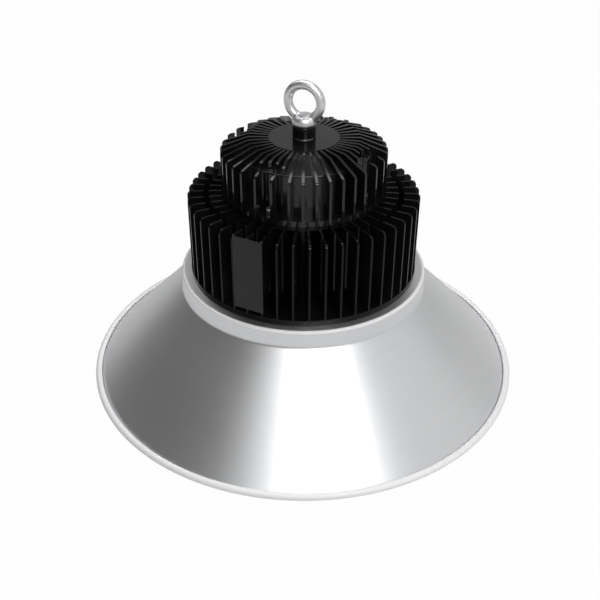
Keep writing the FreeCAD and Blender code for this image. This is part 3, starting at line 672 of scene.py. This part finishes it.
def copies(piece: bpy.types.Object, places: Iterable[Matrix]) -> bpy.types.Object:
    """Repeats a piece at each place and joins the copies; the first piece itself is used up.

    Args:
        piece: The model of one.
        places: Where each one goes.

    Returns:
        The joined piece.
    """
    made = []
    for place in places:
        one = piece.copy()
        one.data = piece.data.copy()
        one.data.transform(place)
        bpy.context.scene.collection.objects.link(one)
        made.append(one)
    name = piece.name
    bpy.data.objects.remove(piece)
    unite(made[0], made[1:])
    made[0].name = name
    return made[0]


@dataclass(frozen=True)
class Ring:
    """Places evenly round an axis: how many, at what radius, the first at what angle in degrees."""

    total: int
    reach: float
    phase: float = 0.0

    def places(self, height: float, hanging: bool = False) -> list[Matrix]:
        """Works out the places.

        Args:
            height: Height of the ring.
            hanging: Whether what goes there is upside down.

        Returns:
            One matrix for each place.
        """
        lie = Matrix.Rotation(math.pi if hanging else 0.0, 4, "X")
        turns = [math.radians(self.phase + FULL_TURN * step / self.total) for step in range(self.total)]
        return [Matrix.Rotation(turn, 4, "Z") @ Matrix.Translation((self.reach, 0.0, height)) @ lie
                for turn in turns]


# The reflector's holes stand on the rings of the lens ring's screws and of its own.
HOUSING_SCREWS = Ring(4, 0.0625, 62.3)
LENS_SCREWS = Ring(6, 0.0946, 2.7)
REFLECTOR_SCREWS = Ring(4, 0.101, 47.7)


def turned(name: str, profile: Sequence[Point], steps: int) -> bpy.types.Object:
    """Turns a closed profile of (radius, height) round the Z axis.

    Args:
        name: Name of the piece.
        profile: Corners of the profile.
        steps: Steps of the turn.

    Returns:
        The turned piece.
    """
    clear_selection()
    mesh = bpy.data.meshes.new(name)
    corners = [(radius, 0.0, height) for radius, height in profile]
    edges = [(index, (index + 1) % len(corners)) for index in range(len(corners))]
    mesh.from_pydata(corners, edges, [])
    piece = bpy.data.objects.new(name, mesh)
    bpy.context.scene.collection.objects.link(piece)
    pick(piece)
    bpy.ops.object.mode_set(mode="EDIT")
    bpy.ops.mesh.select_all(action="SELECT")
    bpy.ops.mesh.spin(steps=steps, angle=math.radians(FULL_TURN), center=(0, 0, 0), axis=(0, 0, 1))
    bpy.ops.mesh.select_all(action="SELECT")
    bpy.ops.mesh.remove_doubles(threshold=TURN_WELD)
    bpy.ops.mesh.normals_make_consistent(inside=False)
    bpy.ops.object.mode_set(mode="OBJECT")
    return piece


def arc(middle: Point, radius: float, first: float, last: float, steps: int) -> list[Point]:
    """Lays points along an arc of a profile.

    Args:
        middle: Centre, as radius and height.
        radius: Radius of the arc.
        first: Angle of the first point, in degrees.
        last: Angle of the last point, in degrees.
        steps: Number of equal steps between them.

    Returns:
        The points, both ends included.
    """
    angles = [math.radians(first + (last - first) * step / steps) for step in range(steps + 1)]
    return [(middle[0] + radius * math.cos(angle), middle[1] + radius * math.sin(angle))
            for angle in angles]


@dataclass
class Reflector:
    """Reflector spun from one sheet: seat, collar, straight cone and rolled bead."""

    rim: float = 0.205
    bead: float = 0.0032
    wall: float = 0.0015
    curl_end: float = 145.0
    collar: float = 0.114
    collar_drop: float = 0.0162
    shoulder: float = 0.002
    foot: float = 0.005
    bore: float = 0.078
    seat: float = 0.1072
    hole: float = 0.00175
    shoulder_steps: int = 8
    foot_steps: int = 10
    bead_steps: int = 40
    hole_corners: int = 24
    steps: int = 240

    def lean(self) -> float:
        """Works out how much the cone falls from level.

        Returns:
            The angle in radians.
        """
        run = self.rim - self.bead - self.collar
        fall = self.seat - self.collar_drop - self.bead
        return math.atan2(fall, run) + math.asin((self.bead - self.wall) / math.hypot(run, fall))

    def skin(self, depth: float) -> list[Point]:
        """Follows one side of the sheet, from the bore out to the end of the bead.

        Args:
            depth: Depth under the outer side.

        Returns:
            Its profile in radius and height.
        """
        lean = self.lean()
        curl = self.bead - self.wall
        middle = (self.rim - self.bead, self.bead)
        start = (middle[0] - curl * math.sin(lean), middle[1] - curl * math.cos(lean))
        foot_radius = self.collar + self.foot
        foot_height = start[1] + (self.foot - (foot_radius - start[0]) * math.sin(lean)) / math.cos(lean)
        below = 270.0 - math.degrees(lean)
        shoulder = (self.collar - self.shoulder, self.seat - self.shoulder)
        return ([(self.bore, self.seat - depth)]
                + arc(shoulder, self.shoulder - depth, 90.0, 0.0, self.shoulder_steps)
                + arc((foot_radius, foot_height), self.foot + depth, 180.0, below, self.foot_steps)
                + arc(middle, curl + depth, below, FULL_TURN + self.curl_end, self.bead_steps))

    def build(self) -> None:
        """Spins the sheet and drills its seat for the two rings of screws."""
        profile = self.skin(0.0) + self.skin(self.wall)[::-1]
        sheet = turned("reflector_spun", profile, self.steps)
        clear_selection()
        bpy.ops.mesh.primitive_cylinder_add(vertices=self.hole_corners, radius=self.hole,
                                            depth=self.wall * 4.0)
        drills = copies(bpy.context.object,
                        LENS_SCREWS.places(self.seat) + REFLECTOR_SCREWS.places(self.seat))
        apply(sheet, "BOOLEAN", operation="DIFFERENCE", solver="EXACT", object=drills)
        bpy.data.objects.remove(drills)
        smooth(sheet, angle=40.0)
        settle(sheet, Metal.REFLECTOR.value, ["reflector"])


@dataclass
class EyeBolt:
    """Forged lifting eye: ring, domed collar and shank in one piece, with soft roots."""

    seat: float = 0.2467
    length: float = 0.0295
    shank: float = 0.005
    tip: float = 0.001
    collar: float = 0.0108
    collar_ease: float = 0.0005
    collar_edge: float = 0.0034
    collar_rise: float = 0.0094
    neck: float = 0.0044
    dome_steps: int = 6
    ring: float = 0.0151
    wire: float = 0.0042
    ring_height: float = 0.2669
    yaw: float = -23.0
    steps: int = 96
    ring_steps: int = 128
    wire_steps: int = 40
    voxel: float = 0.0005
    rubbing: int = 60

    def dome(self) -> list[Point]:
        """Rounds the collar's top, from its edge in to the neck.

        Returns:
            The points between the two.
        """
        base = self.seat + self.collar_edge
        rise = self.collar_rise - self.collar_edge
        reach = self.collar - self.neck
        angles = [QUARTER * step / self.dome_steps for step in range(1, self.dome_steps)]
        return [(self.neck + reach * math.cos(angle), base + rise * math.sin(angle)) for angle in angles]

    def build(self) -> None:
        """Turns the stem, adds the ring, grows both into one skin and eases the roots."""
        foot = self.seat - self.length
        stem = turned("eye_bolt_forging", [
            (0.0, foot),
            (self.shank - self.tip, foot),
            (self.shank, foot + self.tip),
            (self.shank, self.seat),
            (self.collar - self.collar_ease, self.seat),
            (self.collar, self.seat + self.collar_ease),
            (self.collar, self.seat + self.collar_edge),
            *self.dome(),
            (0.0, self.seat + self.collar_rise),
        ], self.steps)
        clear_selection()
        bpy.ops.mesh.primitive_torus_add(
            major_radius=self.ring, minor_radius=self.wire, major_segments=self.ring_steps,
            minor_segments=self.wire_steps, location=(0.0, 0.0, self.ring_height),
            rotation=(QUARTER, 0.0, 0.0))
        unite(stem, [bpy.context.object])
        apply(stem, "REMESH", mode="VOXEL", voxel_size=self.voxel)
        apply(stem, "SMOOTH", factor=0.5, iterations=self.rubbing)
        stem.data.transform(Matrix.Rotation(math.radians(self.yaw), 4, "Z"))
        smooth(stem, angle=60.0)
        settle(stem, Metal.ZINC.value, ["eye_bolt"])


class Drive(Enum):
    """Recess in a screw's head."""

    HEXAGON = "hexagon"
    CROSS = "cross"


@dataclass
class Screws:
    """Ring of equal screws, head up or hanging head down; a share is of the head or of the shank."""

    node: str
    ring: Ring
    seat: float
    head: float
    head_height: float
    shank: float
    length: float
    drive: Drive
    hanging: bool = False
    recess_share: float = 0.55
    hexagon_share: float = 0.5
    slot_length_share: float = 1.05
    slot_width_share: float = 0.26
    edge_share: float = 0.18
    tip_share: float = 0.8
    tip_rise_share: float = 0.3
    ease: float = 0.00012
    steps: int = 40

    def recesses(self) -> list[bpy.types.Object]:
        """Makes the solids that cut the drive out of the head.

        Returns:
            The cutters.
        """
        depth = self.head_height * self.recess_share * 2.0
        top = (0.0, 0.0, self.head_height)
        if self.drive is Drive.HEXAGON:
            clear_selection()
            bpy.ops.mesh.primitive_cylinder_add(vertices=6, radius=self.head * self.hexagon_share,
                                                depth=depth, location=top)
            return [bpy.context.object]
        slots = []
        for turn in (0.0, QUARTER):
            clear_selection()
            bpy.ops.mesh.primitive_cube_add(size=1.0, location=top, rotation=(0.0, 0.0, turn))
            slot = bpy.context.object
            slot.scale = (self.head * self.slot_length_share, self.head * self.slot_width_share, depth)
            slots.append(slot)
        return slots

    def build(self) -> None:
        """Turns one screw, cuts its drive, and repeats it round the ring."""
        edge = self.head_height * self.edge_share
        one = turned(f"{self.node}_turned", [
            (0.0, -self.length),
            (self.shank * self.tip_share, -self.length),
            (self.shank, -self.length + self.shank * self.tip_rise_share),
            (self.shank, 0.0),
            (self.head, 0.0),
            (self.head, self.head_height - edge),
            (self.head - edge, self.head_height),
            (0.0, self.head_height),
        ], self.steps)
        for cutter in self.recesses():
            bpy.context.view_layer.update()
            apply(one, "BOOLEAN", operation="DIFFERENCE", solver="EXACT", object=cutter)
            bpy.data.objects.remove(cutter)
        ease_edges(one, self.ease, angle=40.0)
        whole = copies(one, self.ring.places(self.seat, self.hanging))
        smooth(whole, angle=35.0)
        settle(whole, Metal.SCREW.value, [self.node])


@dataclass
class GlandCap:
    """Domed cap of the cable gland, with grip ribs round it."""

    reach: float = 0.075
    height: float = 0.2012
    turn: float = 17.3
    foot: float = 0.0063
    length: float = 0.011
    radius: float = 0.0099
    dome: tuple[Point, ...] = ((0.0, 0.0026), (0.0004, 0.0012), (0.0013, 0.0003), (0.0024, 0.0))
    lip: float = 0.0004
    bore: float = 0.0052
    thread: float = 0.0087
    wall: float = 0.0016
    steps: int = 80
    ribs: int = 20
    rib_radius: float = 0.0104
    rib_width: float = 0.0011
    rib_sink: float = 0.0006
    rib_foot: float = 0.0004
    rib_trim: float = 0.0042
    rib_ease: float = 0.0003

    def shell(self) -> bpy.types.Object:
        """Turns the cap without its ribs.

        Returns:
            The turned cap, standing on its axis.
        """
        top = self.foot + self.length
        return turned("gland_cap_moulded", [
            (self.thread, self.foot),
            (self.radius, self.foot),
            *((self.radius - inward, top - down) for inward, down in self.dome),
            (self.bore + self.lip, top),
            (self.bore, top - self.lip),
            (self.bore, top - self.wall),
            (self.thread, top - self.wall),
        ], self.steps)

    def grip(self) -> bpy.types.Object:
        """Sets ribs round the cap, sunk a little into it.

        Returns:
            All ribs as one object.
        """
        clear_selection()
        bpy.ops.mesh.primitive_cube_add(size=1.0)
        rib = bpy.context.object
        rib.name = "gland_rib"
        length = self.length - self.rib_trim
        rib.scale = (self.rib_radius - self.radius + self.rib_sink, self.rib_width, length)
        bpy.ops.object.transform_apply(location=False, rotation=False, scale=True)
        ease_edges(rib, self.rib_ease, angle=35.0)
        reach = (self.radius + self.rib_radius - self.rib_sink) / 2.0
        return copies(rib, Ring(self.ribs, reach).places(self.foot + self.rib_foot + length / 2.0))

    def build(self) -> None:
        """Makes the cap and lays it in at the back of the housing."""
        cap = self.shell()
        unite(cap, [self.grip()])
        cap.data.transform(Matrix.Rotation(math.radians(self.turn), 4, "Z")
                           @ Matrix.Translation((0.0, self.reach, self.height))
                           @ Matrix.Rotation(-QUARTER, 4, "X"))
        smooth(cap, angle=38.0)
        settle(cap, Soft.NYLON.value, ["gland_cap"])


@dataclass
class ShoulderEdge:
    """Rounded edge of the driver housing, where its wall turns into the sloping roof."""

    radius: float = 0.0595
    height: float = 0.2252
    bead: float = 0.0009
    sink_share: float = 0.3
    corners: int = 24
    steps: int = 160

    def build(self) -> None:
        """Turns the rounded edge, which the ribs pass through."""
        sink = self.bead * self.sink_share
        last = FULL_TURN - FULL_TURN / self.corners
        profile = arc((self.radius - sink, self.height - sink), self.bead, 0.0, last, self.corners - 1)
        edge = turned("housing_edge", profile, self.steps)
        smooth(edge, angle=50.0)
        settle(edge, Metal.HOUSING.value, [])


@dataclass
class LedArray:
    """Rings of LED packages under the board, each a white frame round a phosphor dome."""

    board_foot: float = 0.1047
    reaches: tuple[float, ...] = (0.018, 0.034, 0.050)
    step: int = 6
    phase: float = 2.7
    side: float = 0.005
    frame_height: float = 0.00055
    frame_ease: float = 0.00009
    rim_share: float = 0.09
    well_share: float = 0.35
    dome_height: float = 0.00078
    dome_radius: float = 0.0019
    dome_foot_share: float = 0.5
    dome_steps: int = 20

    def places(self) -> list[Matrix]:
        """Says where each package goes, facing down.

        Returns:
            One matrix for each package.
        """
        rings = [Ring(self.step * count, reach, self.phase)
                 for count, reach in enumerate(self.reaches, start=1)]
        return [place for ring in rings for place in ring.places(self.board_foot, hanging=True)]

    def frames(self) -> None:
        """Models one package, a block with a shallow well in its face, and repeats it."""
        clear_selection()
        bpy.ops.mesh.primitive_cube_add(size=1.0, location=(0.0, 0.0, self.frame_height / 2.0))
        frame = bpy.context.object
        frame.name = "led_frames"
        frame.scale = (self.side, self.side, self.frame_height)
        bpy.ops.object.transform_apply(location=True, rotation=False, scale=True)
        bpy.ops.object.mode_set(mode="EDIT")
        bpy.ops.mesh.select_all(action="DESELECT")
        shell = bmesh.from_edit_mesh(frame.data)
        for face in shell.faces:
            face.select = face.normal.z > FACES_UP
        bmesh.update_edit_mesh(frame.data)
        bpy.ops.mesh.inset(thickness=self.side * self.rim_share)
        well = (0.0, 0.0, -self.frame_height * self.well_share)
        bpy.ops.mesh.extrude_region_move(TRANSFORM_OT_translate={"value": well})
        bpy.ops.object.mode_set(mode="OBJECT")
        ease_edges(frame, self.frame_ease, angle=35.0)
        frames = copies(frame, self.places())
        smooth(frames, angle=35.0)
        settle(frames, Soft.PACKAGE.value, ["led_chips"])

    def domes(self) -> None:
        """Models one dome, half a flattened ball, and repeats it."""
        foot = self.frame_height * self.dome_foot_share
        flat = (self.dome_height - foot) / self.dome_radius
        clear_selection()
        bpy.ops.mesh.primitive_uv_sphere_add(segments=self.dome_steps, ring_count=self.dome_steps // 2,
                                             radius=self.dome_radius)
        dome = bpy.context.object
        dome.name = "led_domes"
        bpy.ops.object.mode_set(mode="EDIT")
        bpy.ops.mesh.select_all(action="SELECT")
        bpy.ops.mesh.bisect(plane_co=(0, 0, 0), plane_no=(0, 0, 1), use_fill=True, clear_inner=True)
        bpy.ops.mesh.select_all(action="SELECT")
        bpy.ops.transform.resize(value=(1.0, 1.0, flat), center_override=(0, 0, 0))
        bpy.ops.transform.translate(value=(0.0, 0.0, foot))
        bpy.ops.object.mode_set(mode="OBJECT")
        domes = copies(dome, self.places())
        smooth(domes, angle=40.0)
        settle(domes, Soft.PHOSPHOR.value, [])

    def build(self) -> None:
        """Makes the packages and their domes."""
        self.frames()
        self.domes()


@dataclass
class Lamp:
    """Area lamp aimed at a point of the light."""

    name: str
    place: Place
    size: tuple[float, float]
    watts: float
    aim: Place = (0.0, 0.0, 0.12)

    def hang(self) -> None:
        """Makes the lamp."""
        data = bpy.data.lights.new(self.name, "AREA")
        data.shape = "RECTANGLE"
        data.size, data.size_y = self.size
        data.energy = self.watts
        lamp = bpy.data.objects.new(self.name, data)
        bpy.context.scene.collection.objects.link(lamp)
        lamp.location = self.place
        lamp.rotation_euler = (Vector(self.aim) - Vector(self.place)).to_track_quat("-Z", "Y").to_euler()


@dataclass
class Studio:
    """Camera, pale floor, soft surroundings and lamps."""

    eye: Place = (-0.0030, -0.7429, 0.5574)
    down: float = 33.56
    roll: float = 0.25
    lens: float = 55.0
    sensor: float = 36.0
    floor_size: float = 60.0
    floor_drop: float = 0.0002
    floor_colours: tuple[Colour, Colour] = ((0.62, 0.62, 0.62), (0.66, 0.66, 0.66))
    floor_cloud: float = 3.0
    floor_white: float = 0.98
    floor_mirrored: float = 0.3
    world_mirrored: float = 0.08
    side_range: Point = (-0.4, 0.7)
    side_light: Point = (0.03, 0.46)
    back_range: Point = (0.86, 0.93)
    back_light: Point = (0.0, 0.22)
    lamps: list[Lamp] = field(default_factory=lambda: [
        Lamp("key_softbox", (0.33, -1.25, 1.25), (0.8, 0.9), 12.0),
        Lamp("left_fill", (-0.35, -1.5, 1.5), (1.3, 1.0), 3.0),
        Lamp("right_panel", (1.7, -0.2, 0.9), (1.4, 1.4), 1.0),
        Lamp("top_panel", (0.0, 0.35, 1.7), (1.2, 0.8), 9.0),
        Lamp("back_rim", (-0.9, 0.9, 1.6), (0.9, 1.0), 4.0),
    ])

    def camera(self) -> None:
        """Puts the camera at the viewer's place."""
        data = bpy.data.cameras.new("camera")
        data.lens = self.lens
        data.sensor_width = self.sensor
        made = bpy.data.objects.new("camera", data)
        bpy.context.scene.collection.objects.link(made)
        made.location = self.eye
        tilt = Matrix.Rotation(QUARTER - math.radians(self.down), 3, "X")
        made.rotation_euler = (tilt @ Matrix.Rotation(math.radians(self.roll), 3, "Z")).to_euler()
        bpy.context.scene.camera = made

    def floor(self) -> None:
        """Lays a plain floor, white to the camera and pale to the light, just under the lamp."""
        clear_selection()
        bpy.ops.mesh.primitive_plane_add(size=self.floor_size, location=(0.0, 0.0, -self.floor_drop))
        plane = bpy.context.object
        plane.name = "floor"
        material = bpy.data.materials.new("pale_floor")
        material.use_nodes = True
        shader = Shader(material.node_tree)
        colour = shader.mix(shader.noise(self.floor_cloud), *self.floor_colours)
        matt = shader.node("ShaderNodeBsdfDiffuse", {}, {"Color": colour})
        white = shader.node("ShaderNodeEmission", {}, {"Color": WHITE, "Strength": 1.0})
        seen = shader.backdrop(self.floor_mirrored) * self.floor_white
        both = shader.node("ShaderNodeMixShader", {}, {0: seen, 1: matt.outputs[0], 2: white.outputs[0]})
        shader.node("ShaderNodeOutputMaterial", {}, {"Surface": both.outputs[0]})
        plane.data.materials.append(material)

    def surroundings(self) -> None:
        """Sets the world: white to the camera, and to the object a studio that is dimmer on the left."""
        world = bpy.data.worlds.new("studio")
        world.use_nodes = True
        bpy.context.scene.world = world
        shader = Shader(world.node_tree)
        direction = shader.node("ShaderNodeTexCoord", {}, {}).outputs["Generated"]
        split = shader.node("ShaderNodeSeparateXYZ", {}, {0: direction})
        sideways = Signal(shader, split.outputs[0]).ramp(*self.side_range, *self.side_light)
        backward = Signal(shader, split.outputs[1]).ramp(*self.back_range, *self.back_light)
        dim = shader.node("ShaderNodeBackground", {}, {"Color": WHITE, "Strength": sideways + backward})
        white = shader.node("ShaderNodeBackground", {}, {"Color": WHITE, "Strength": 1.0})
        seen = shader.backdrop(self.world_mirrored)
        both = shader.node("ShaderNodeMixShader", {}, {0: seen, 1: dim.outputs[0], 2: white.outputs[0]})
        shader.node("ShaderNodeOutputWorld", {}, {"Surface": both.outputs[0]})

    def build(self) -> None:
        """Sets the whole studio up."""
        bpy.context.scene.view_settings.view_transform = "Standard"
        self.camera()
        self.floor()
        self.surroundings()
        for lamp in self.lamps:
            lamp.hang()


EASED = [
    Workpiece("lens_ring", Metal.RING.value, "spun_aluminium", 0.0004),
    Workpiece("heat_sink", Metal.CASTING.value, "black_casting", 0.00035),
    Workpiece("driver_housing", Metal.HOUSING.value, "black_casting", 0.00035),
    Workpiece("mounting_hub", Metal.HUB.value, "black_hub", 0.0003),
    Workpiece("hub_washer", Metal.ZINC.value, "zinc_steel", 0.0002),
    Workpiece("label_plate", Soft.PLATE.value, "grey_plate", 0.0003),
    Workpiece("gland_body", Soft.NYLON.value, "black_nylon", 0.0003),
    Workpiece("lens_gasket", Soft.SILICONE.value, "clear_silicone", 0.0003),
    Workpiece("glass_cover", Soft.GLASS.value, "clear_glass", 0.0005),
    Workpiece("led_board", Soft.BOARD.value, "white_board", 0.0002),
]

SHAPED = [
    Reflector(),
    EyeBolt(),
    GlandCap(),
    ShoulderEdge(),
    LedArray(),
    Screws("housing_screws", HOUSING_SCREWS, seat=0.1904, head=0.0035, head_height=0.004,
           shank=0.002, length=0.018, drive=Drive.HEXAGON),
    Screws("lens_ring_screws", LENS_SCREWS, seat=0.1032, head=0.00275, head_height=0.0016,
           shank=0.0015, length=0.0075, drive=Drive.CROSS, hanging=True),
    Screws("reflector_screws", REFLECTOR_SCREWS, seat=0.1057, head=0.00275, head_height=0.0016,
           shank=0.0015, length=0.005, drive=Drive.CROSS, hanging=True),
]

INSIDE = {
    "driver_screws": Metal.SCREW,
    "board_screws": Metal.SCREW,
    "inner_nut": Metal.ZINC,
    "inner_washer": Metal.ZINC,
    "housing_gasket": Soft.RUBBER,
    "wire_grommet": Soft.RUBBER,
    "gland_seal": Soft.RUBBER,
    "gland_washer": Soft.RUBBER,
    "thermal_pad": Soft.PAD,
    "driver_sheet": Soft.SHEET,
    "terminal_block": Soft.TERMINAL,
    "output_leads": Soft.LEAD,
    "led_driver": Metal.CAN,
}


def main() -> None:
    """Builds the studio and the light, piece by piece."""
    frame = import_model()
    Studio().build()
    for piece in EASED:
        piece.build(frame)
    for piece in SHAPED:
        piece.build()
    for node, finish in INSIDE.items():
        dress(frame["nodes"][node], finish.value)
        log.info("%s: dressed", node)
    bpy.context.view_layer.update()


if __name__ == "__main__":
    main()
